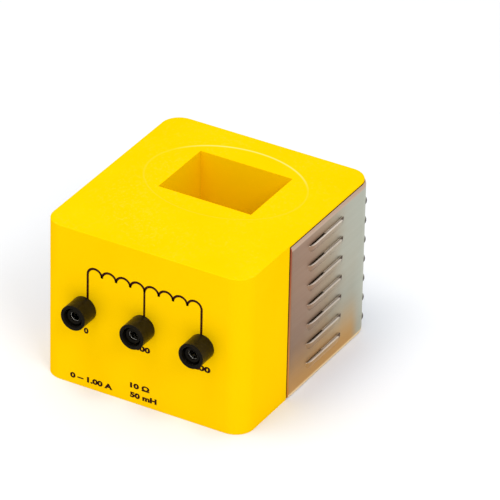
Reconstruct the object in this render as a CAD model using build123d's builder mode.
from build123d import *
import math
import os

# A plug-on transformer coil: a moulded housing round a rectangular core window, a louvred
# sheet-metal cover on three sides, three 4 mm safety sockets, and the winding inside.
# Millimetres. Origin on the axis of the core window, at the base. +Z is up, -Y the front.

# ---- driving dimensions ----------------------------------------------------------------

# housing
body_width = 90.4
body_depth = 97.7
body_height = 69.4
corner_radius = 8.0
window_width = 41.5
window_depth = 32.4
back_margin = 19.6
top_thickness = 3.0
rim_land = 0.8
edge_rounding = 0.4
wall = 2.5
tube_wall = 2.0
front_length = 33.1
field_length = 68.0
field_depth = 53.6
field_slope = 1.0
field_sink = 0.15

# cover
sheet = 0.8
cover_proud = 0.7
lip_radius = 2.0
lip_gap = 0.35
front_gap = 0.4
louvre_length = 27.4
louvre_height = 3.8
louvre_rise = 1.4
louvre_wall = 0.55
slit_length = 12.5
louvre_count = 7
louvre_pitch = 8.8
top_slit_height = 62.3
side_louvre_y = -1.5
pip_radius = 2.6
pip_rise = 0.55
pip_drop = 2.8
pip_angle = 25.0

# sockets
socket_pitch = 26.3
socket_height = 35.5
shroud_radius = 5.4
shroud_length = 8.4
shroud_wall = 1.35
shroud_bevel = 0.4
recess_depth = 16.0
sleeve_radius = 3.2
sleeve_setback = 1.2
sleeve_lip = 1.0
contact_bore_radius = 2.0
contact_wall = 0.6
contact_end = 1.5
neck_radius = 4.9
neck_length = 14.0
neck_floor = 2.5
tail_radius = 1.1
tail_length = 5.5
nut_flats = 12.5
nut_thickness = 3.0
tag_thickness = 0.6
tag_width = 5.0
tag_reach = 9.0
fit_gap = 0.05

# winding
bobbin_gap = 0.2
bobbin_wall = 1.5
bobbin_corner = 2.0
flange_margin = 0.5
half_depth = 5.2
tape_thickness = 0.3
lead_radius = 0.7

# base and screws
base_thickness = 3.0
base_inset = 0.5
base_gap = 0.25
boss_radius = 4.0
boss_spacing = 78.0
boss_front_margin = 8.0
boss_back_margin = 6.0
screw_radius = 1.45
screw_length = 12.0
screw_head_radius = 2.9

# ---- derived places --------------------------------------------------------------------

back_y = window_depth / 2 + back_margin
front_y = back_y - body_depth
mid_y = (back_y + front_y) / 2
returns_end_y = front_y + front_length
inner_top = body_height - top_thickness
rim_bottom = body_height - rim_land
bevel = top_thickness - rim_land

# The cover's lips are arcs about lines set in from its faces by the lip radius. Each lip
# ends on a 45 degree plane through that line, parallel to the moulding's own bevel.
lip_setback = lip_gap * math.sqrt(2)
cover_x = body_width / 2 + cover_proud
cover_back = back_y + cover_proud
cover_corner = corner_radius + cover_proud
lip_x = cover_x - lip_radius
lip_back = cover_back - lip_radius
lip_front = returns_end_y + front_gap + lip_radius * math.sin(math.pi / 4)
lip_top = rim_bottom - (body_width / 2 - lip_x) - lip_setback
base_land = rim_land - base_inset
lip_bottom = base_land + (body_width / 2 - base_inset - lip_x) + lip_setback

tube_width = window_width + 2 * tube_wall
tube_depth = window_depth + 2 * tube_wall
panel_places = {"0": -socket_pitch, "600": 0.0, "1200": socket_pitch}
boss_front_y = front_y + boss_front_margin
boss_back_y = back_y - boss_back_margin
boss_places = [(x, y) for x in (-boss_spacing / 2, boss_spacing / 2) for y in (boss_front_y, boss_back_y)]

os.makedirs("parts", exist_ok=True)

# ---- housing ---------------------------------------------------------------------------
# One moulding: top plate, front panel with short side returns, and the window tube.

with BuildPart() as housing:
    # the front of the shell, full height, as far back as the returns reach
    with BuildSketch():
        with Locations((0, mid_y)):
            RectangleRounded(body_width, body_depth, corner_radius)
        with Locations((0, returns_end_y)):
            Rectangle(body_width, body_depth, align=(Align.CENTER, Align.MIN), mode=Mode.SUBTRACT)
    extrude(amount=rim_bottom)
    with BuildSketch():
        with Locations((0, mid_y)):
            RectangleRounded(body_width - 2 * wall, body_depth - 2 * wall, corner_radius - wall)
    extrude(amount=inner_top, mode=Mode.SUBTRACT)
    # the top plate, bevelled below its rim where the cover's lip nests
    with BuildSketch(Plane.XY.offset(inner_top)):
        with Locations((0, mid_y)):
            RectangleRounded(body_width - 2 * bevel, body_depth - 2 * bevel, corner_radius - bevel)
    with BuildSketch(Plane.XY.offset(rim_bottom)):
        with Locations((0, mid_y)):
            RectangleRounded(body_width, body_depth, corner_radius)
    loft(ruled=True)
    with BuildSketch(Plane.XY.offset(rim_bottom)):
        with Locations((0, mid_y)):
            RectangleRounded(body_width, body_depth, corner_radius)
    extrude(amount=rim_land)
    fillet(housing.faces().sort_by(Axis.Z)[-1].edges(), edge_rounding)
    # the window tube, the screw bosses and their pilot holes
    with BuildSketch():
        Rectangle(tube_width, tube_depth)
    extrude(amount=inner_top)
    with BuildSketch():
        Rectangle(window_width, window_depth)
    extrude(amount=body_height, mode=Mode.SUBTRACT)
    with BuildSketch(Plane.XY.offset(base_thickness)):
        with Locations(*boss_places):
            Circle(boss_radius)
    extrude(amount=inner_top - base_thickness)
    with BuildSketch(Plane.XY.offset(base_thickness)):
        with Locations(*boss_places):
            Circle(screw_radius + fit_gap)
    extrude(amount=screw_length, mode=Mode.SUBTRACT)
    # the oval field round the window, sunk by a hair with a gently sloping edge
    with BuildSketch(Plane.XY.offset(body_height)):
        Ellipse(field_length / 2, field_depth / 2)
    with BuildSketch(Plane.XY.offset(body_height - field_sink)):
        Ellipse(field_length / 2 - field_slope, field_depth / 2 - field_slope)
    loft(ruled=True, mode=Mode.SUBTRACT)
    # the three holes in the front panel
    with BuildSketch(Plane.XZ.offset(-front_y)):
        with Locations(*[(x, socket_height) for x in panel_places.values()]):
            Circle(neck_radius + fit_gap)
    extrude(amount=-wall, mode=Mode.SUBTRACT)
housing.part.label = "housing"
export_step(housing.part, "parts/housing.step")

# ---- louvred cover ---------------------------------------------------------------------
# A sheet bent to a U, its top, bottom and front edges turned in through 45 degrees, with
# rounded hoods pushed outwards below the slits.


def cover_block(inset):
    """A block with the cover's outline and all its edges rounded, set in from the outer face."""
    round_over = lip_radius - inset
    with BuildPart() as block:
        with BuildSketch(Plane.XY.offset(lip_bottom - round_over)):
            with Locations((0, lip_front - round_over)):
                Rectangle(
                    2 * (lip_x + round_over),
                    lip_back - lip_front + 2 * round_over,
                    align=(Align.CENTER, Align.MIN),
                )
        extrude(amount=lip_top - lip_bottom + 2 * round_over)
        uprights = block.edges().filter_by(Axis.Z).group_by(Axis.Y)
        fillet(uprights[-1], cover_corner - inset)
        front_uprights = block.edges().filter_by(Axis.Z).group_by(Axis.Y)[0]
        rims = block.faces().filter_by(Axis.Z).edges()
        fillet(front_uprights + rims, round_over)
    return block.part


def lip_outline(grow):
    """The line about which the top and bottom lips turn, grown outwards."""
    with Locations((0, lip_front - grow)):
        Rectangle(2 * (lip_x + grow), lip_back - lip_front + 2 * grow, align=(Align.CENTER, Align.MIN))


with BuildPart() as end_opening:
    # one 45 degree funnel, which opens the block's top and, mirrored, its bottom
    for grow in (-lip_radius, 1.5 * lip_radius):
        with BuildSketch(Plane.XY.offset(grow)) as outline:
            lip_outline(grow)
            corners = outline.vertices().group_by(Axis.Y)[-1]
            fillet(corners, cover_corner - lip_radius + grow)
    loft(ruled=True)

with BuildPart() as front_opening:
    # the same funnel for the open front
    for grow in (-lip_radius, 1.5 * lip_radius):
        opening_width = 2 * (lip_x + grow)
        opening_height = lip_top - lip_bottom + 2 * grow
        with BuildSketch(Plane.XZ.offset(grow - lip_front)):
            with Locations((0, lip_bottom - grow)):
                Rectangle(opening_width, opening_height, align=(Align.CENTER, Align.MIN))
    loft(ruled=True)

# A hood is a quarter turn of its outline about an axis sunk behind the sheet.
hood_axis_depth = (louvre_height**2 - louvre_rise**2) / (2 * louvre_rise)
slit_heights = [top_slit_height - step * louvre_pitch for step in range(louvre_count)]
slit_end = slit_length - louvre_length / 2


def louvre_row(shrink):
    """Lying capsule quarters, thinned by an allowance. Local +Y points out of the sheet."""
    radius = hood_axis_depth + louvre_rise - shrink
    straight = louvre_length / 2 - louvre_height
    with BuildPart() as row:
        for height in slit_heights:
            slit = (0, -hood_axis_depth, height)
            with BuildSketch(Plane(origin=slit, x_dir=(1, 0, 0), z_dir=(0, 0, 1))):
                with BuildLine():
                    Line((straight + radius, 0), (-straight - radius, 0))
                    CenterArc((-straight, 0), radius, 90, 90)
                    Line((-straight, radius), (straight, radius))
                    CenterArc((straight, 0), radius, 0, 90)
                make_face()
            revolve(axis=Axis(slit, (-1, 0, 0)), revolution_arc=90)
    return row.part


# only what stands proud of the sheet is added to it
with BuildPart() as hoods:
    add(louvre_row(0))
    split(bisect_by=Plane.XZ.offset(sheet / 2), keep=Keep.BOTTOM)

# The back row is slit from end to end. The side rows are slit along the front only, and
# keep a roof behind the slit.
full_scoops = louvre_row(louvre_wall)
with BuildPart() as part_scoops:
    add(full_scoops)
    with Locations(*[(slit_end, 0, height) for height in slit_heights]):
        Box(
            louvre_length,
            2 * louvre_height,
            2 * louvre_wall,
            align=(Align.MIN, Align.CENTER, Align.CENTER),
            mode=Mode.SUBTRACT,
        )

left_face = Plane(origin=(-cover_x, side_louvre_y, 0), x_dir=(0, 1, 0), z_dir=(0, 0, 1))
back_face = Plane(origin=(0, cover_back, 0), x_dir=(1, 0, 0), z_dir=(0, 0, 1))
left_hoods = left_face * hoods.part
left_scoops = left_face * part_scoops.part
hood_rows = [left_hoods, mirror(left_hoods, about=Plane.YZ), back_face * hoods.part]
scoop_rows = [left_scoops, mirror(left_scoops, about=Plane.YZ), back_face * full_scoops]

bend_x = body_width / 2 - corner_radius
bend_y = back_y - corner_radius
pip_reach = cover_corner - pip_radius + pip_rise
pip_x = bend_x + pip_reach * math.cos(math.radians(pip_angle))
pip_y = bend_y + pip_reach * math.sin(math.radians(pip_angle))
pip_heights = [height - pip_drop for height in slit_heights]

with BuildPart() as vent_cover:
    add(cover_block(0))
    # small pressed pips down each rear bend
    with Locations(*[(side * pip_x, pip_y, height) for side in (-1, 1) for height in pip_heights]):
        Sphere(pip_radius)
    for row in hood_rows:
        add(row)
    # hollow it to a sheet, scoop out the hoods and open the ends and the front
    add(cover_block(sheet), mode=Mode.SUBTRACT)
    for row in scoop_rows:
        add(row, mode=Mode.SUBTRACT)
    bottom_opening = mirror(end_opening.part, about=Plane.XY, mode=Mode.PRIVATE)
    add(Pos(0, 0, lip_top) * end_opening.part, mode=Mode.SUBTRACT)
    add(Pos(0, 0, lip_bottom) * bottom_opening, mode=Mode.SUBTRACT)
    add(front_opening.part, mode=Mode.SUBTRACT)
vent_cover.part.label = "vent_cover"
export_step(vent_cover.part, "parts/vent_cover.step")

# ---- sockets ---------------------------------------------------------------------------
# Each runs along Y. Profiles are drawn as depth behind the panel's face against radius.

shroud_bore = shroud_radius - shroud_wall
recess_floor = recess_depth - shroud_length
sleeve_front = sleeve_setback - shroud_length
contact_front = sleeve_front + sleeve_lip
contact_back = neck_length - neck_floor
contact_radius = contact_bore_radius + contact_wall

for mark, x in panel_places.items():
    socket_plane = Plane(origin=(x, front_y, socket_height), x_dir=(0, 1, 0), z_dir=(1, 0, 0))
    socket_axis = Axis((x, front_y, socket_height), (0, 1, 0))

    with BuildPart() as socket_body:
        with BuildSketch(socket_plane) as section:
            with BuildLine():
                Polyline(
                    (recess_floor, shroud_bore),
                    (-shroud_length, shroud_bore),
                    (-shroud_length, shroud_radius),
                    (0, shroud_radius),
                    (0, neck_radius),
                    (neck_length, neck_radius),
                    (neck_length, tail_radius + fit_gap),
                    (contact_back, tail_radius + fit_gap),
                    (contact_back, contact_radius + fit_gap),
                    (contact_front, contact_radius + fit_gap),
                    (contact_front, contact_bore_radius + fit_gap),
                    (sleeve_front, contact_bore_radius + fit_gap),
                    (sleeve_front, sleeve_radius),
                    (recess_floor, sleeve_radius),
                    close=True,
                )
            make_face()
            rim = section.vertices().group_by(Axis.Y)[0]
            chamfer(rim, shroud_bevel)
        revolve(axis=socket_axis)
    socket_body.part.label = f"socket_body_{mark}"
    export_step(socket_body.part, f"parts/socket_body_{mark}.step")

    with BuildPart() as contact_sleeve:
        with BuildSketch(socket_plane):
            with BuildLine():
                Polyline(
                    (contact_front + fit_gap, contact_bore_radius),
                    (contact_front + fit_gap, contact_radius),
                    (contact_back - fit_gap, contact_radius),
                    (contact_back - fit_gap, tail_radius),
                    (neck_length + tail_length, tail_radius),
                    (neck_length + tail_length, 0),
                    (contact_back - contact_end, 0),
                    (contact_back - contact_end, contact_bore_radius),
                    close=True,
                )
            make_face()
        revolve(axis=socket_axis)
    contact_sleeve.part.label = f"contact_sleeve_{mark}"
    export_step(contact_sleeve.part, f"parts/contact_sleeve_{mark}.step")

    with BuildPart() as socket_nut:
        with BuildSketch(Plane.XZ.offset(-front_y - wall)):
            with Locations((x, socket_height)):
                RegularPolygon(nut_flats / 2, 6, major_radius=False)
                Circle(neck_radius + fit_gap, mode=Mode.SUBTRACT)
        extrude(amount=-nut_thickness)
    socket_nut.part.label = f"socket_nut_{mark}"
    export_step(socket_nut.part, f"parts/socket_nut_{mark}.step")

    with BuildPart() as solder_tag:
        with BuildSketch(Plane.XZ.offset(-front_y - neck_length)):
            with Locations((x, socket_height)):
                Circle(tag_width / 2)
            with Locations((x, socket_height + tag_reach / 2)):
                SlotCenterToCenter(tag_reach, tag_width / 2, rotation=90)
            with Locations((x, socket_height)):
                Circle(tail_radius + fit_gap, mode=Mode.SUBTRACT)
        extrude(amount=-tag_thickness)
    solder_tag.part.label = f"solder_tag_{mark}"
    export_step(solder_tag.part, f"parts/solder_tag_{mark}.step")

# ---- bobbin and winding ----------------------------------------------------------------
# Every layer has the window tube's outline, grown outwards, with its corners rounded to suit.

bobbin_bottom = base_thickness + base_gap
bobbin_top = inner_top - base_gap
bobbin_width = tube_width + 2 * (bobbin_gap + bobbin_wall)
bobbin_depth = tube_depth + 2 * (bobbin_gap + bobbin_wall)
winding_bottom = bobbin_bottom + bobbin_wall
winding_height = bobbin_top - bobbin_bottom - 2 * bobbin_wall
winding_depth = 2 * (half_depth + tape_thickness)
winding_front_y = -bobbin_depth / 2 - winding_depth

with BuildPart() as bobbin:
    with BuildSketch(Plane.XY.offset(bobbin_bottom)):
        RectangleRounded(bobbin_width, bobbin_depth, bobbin_corner)
    extrude(amount=bobbin_top - bobbin_bottom)
    for level in (bobbin_bottom, bobbin_top - bobbin_wall):
        with BuildSketch(Plane.XY.offset(level)):
            grow = winding_depth + flange_margin
            RectangleRounded(bobbin_width + 2 * grow, bobbin_depth + 2 * grow, bobbin_corner + grow)
        extrude(amount=bobbin_wall)
    with BuildSketch(Plane.XY.offset(bobbin_bottom)):
        Rectangle(tube_width + 2 * bobbin_gap, tube_depth + 2 * bobbin_gap)
    extrude(amount=bobbin_top - bobbin_bottom, mode=Mode.SUBTRACT)
bobbin.part.label = "bobbin"
export_step(bobbin.part, "parts/bobbin.step")

layers = [
    ("winding_first_half", 0, half_depth),
    ("interlayer_tape", half_depth, half_depth + tape_thickness),
    ("winding_second_half", half_depth + tape_thickness, winding_depth - tape_thickness),
    ("outer_tape", winding_depth - tape_thickness, winding_depth),
]
for name, inner, outer in layers:
    with BuildPart() as layer:
        with BuildSketch(Plane.XY.offset(winding_bottom)):
            RectangleRounded(bobbin_width + 2 * outer, bobbin_depth + 2 * outer, bobbin_corner + outer)
            RectangleRounded(
                bobbin_width + 2 * inner,
                bobbin_depth + 2 * inner,
                bobbin_corner + inner,
                mode=Mode.SUBTRACT,
            )
        extrude(amount=winding_height)
    layer.part.label = name
    export_step(layer.part, f"parts/{name}.step")

# ---- leads -----------------------------------------------------------------------------
# Sleeved wire ends, from the back of each solder tag to the front of the winding.

tag_back_y = front_y + neck_length + tag_thickness
tag_solder_z = socket_height + tag_reach
lead_ends = {
    "lead_start": (panel_places["0"], -14.0, 12.0),
    "lead_tap": (panel_places["600"], 4.0, 52.0),
    "lead_end": (panel_places["1200"], 16.0, 58.0),
}
for name, (tag_x, wound_x, wound_z) in lead_ends.items():
    straight = (winding_front_y - tag_back_y) / 3
    route = [
        Vector(tag_x, tag_back_y, tag_solder_z),
        Vector(tag_x, tag_back_y + straight, tag_solder_z),
        Vector(wound_x, winding_front_y - straight, wound_z),
        Vector(wound_x, winding_front_y, wound_z),
    ]
    turn = math.radians((route[1] - route[0]).get_angle(route[2] - route[1]))
    bend = 0.45 * straight / math.tan(turn / 2)
    with BuildPart() as lead:
        with BuildLine() as path:
            FilletPolyline(*route, radius=bend)
        with BuildSketch(Plane(origin=route[0], z_dir=(0, 1, 0))):
            Circle(lead_radius)
        sweep()
    print(name, "bend radius", round(bend, 1), "length", round(path.wires()[0].length, 1))
    lead.part.label = name
    export_step(lead.part, f"parts/{name}.step")

# ---- base plate and screws -------------------------------------------------------------

with BuildPart() as base_plate:
    # the back of the plate, bevelled upwards so that the cover's lip nests under it
    with BuildSketch():
        with Locations((0, mid_y)):
            RectangleRounded(
                body_width - 2 * base_inset, body_depth - 2 * base_inset, corner_radius - base_inset
            )
    extrude(amount=base_land)
    for level in (base_land, base_thickness):
        with BuildSketch(Plane.XY.offset(level)):
            with Locations((0, mid_y)):
                inset = base_inset + level - base_land
                RectangleRounded(body_width - 2 * inset, body_depth - 2 * inset, corner_radius - inset)
    loft(ruled=True)
    with Locations((0, returns_end_y + front_gap, 0)):
        Box(
            body_width,
            body_depth,
            base_thickness,
            align=(Align.CENTER, Align.MAX, Align.MIN),
            mode=Mode.SUBTRACT,
        )
    # its front, which drops inside the moulding's walls
    with BuildSketch():
        with Locations((0, mid_y)):
            inset = wall + base_gap
            RectangleRounded(body_width - 2 * inset, body_depth - 2 * inset, corner_radius - inset)
        with Locations((0, returns_end_y + front_gap)):
            Rectangle(body_width, body_depth, align=(Align.CENTER, Align.MIN), mode=Mode.SUBTRACT)
    extrude(amount=base_thickness)
    with BuildSketch():
        Rectangle(tube_width + 2 * base_gap, tube_depth + 2 * base_gap)
    extrude(amount=base_thickness, mode=Mode.SUBTRACT)
    with Locations(Plane.XY.rotated((180, 0, 0))):
        with Locations(*[(x, -y) for x, y in boss_places]):
            CounterSinkHole(
                screw_radius + 2 * fit_gap,
                screw_head_radius + fit_gap,
                depth=base_thickness,
                counter_sink_angle=90,
            )
base_plate.part.label = "base_plate"
export_step(base_plate.part, "parts/base_plate.step")

head_setback = 0.1
head_height = screw_head_radius - screw_radius
with BuildPart() as base_screws:
    for x, y in boss_places:
        with BuildSketch(Plane(origin=(x, y, 0), x_dir=(1, 0, 0), z_dir=(0, -1, 0))):
            with BuildLine():
                Polyline(
                    (0, head_setback),
                    (screw_head_radius - head_setback, head_setback),
                    (screw_radius, head_height),
                    (screw_radius, screw_length - screw_radius),
                    (screw_radius / 2, screw_length),
                    (0, screw_length),
                    close=True,
                )
            make_face()
        revolve(axis=Axis((x, y, 0), (0, 0, 1)))
base_screws.part.label = "base_screws"
export_step(base_screws.part, "parts/base_screws.step")
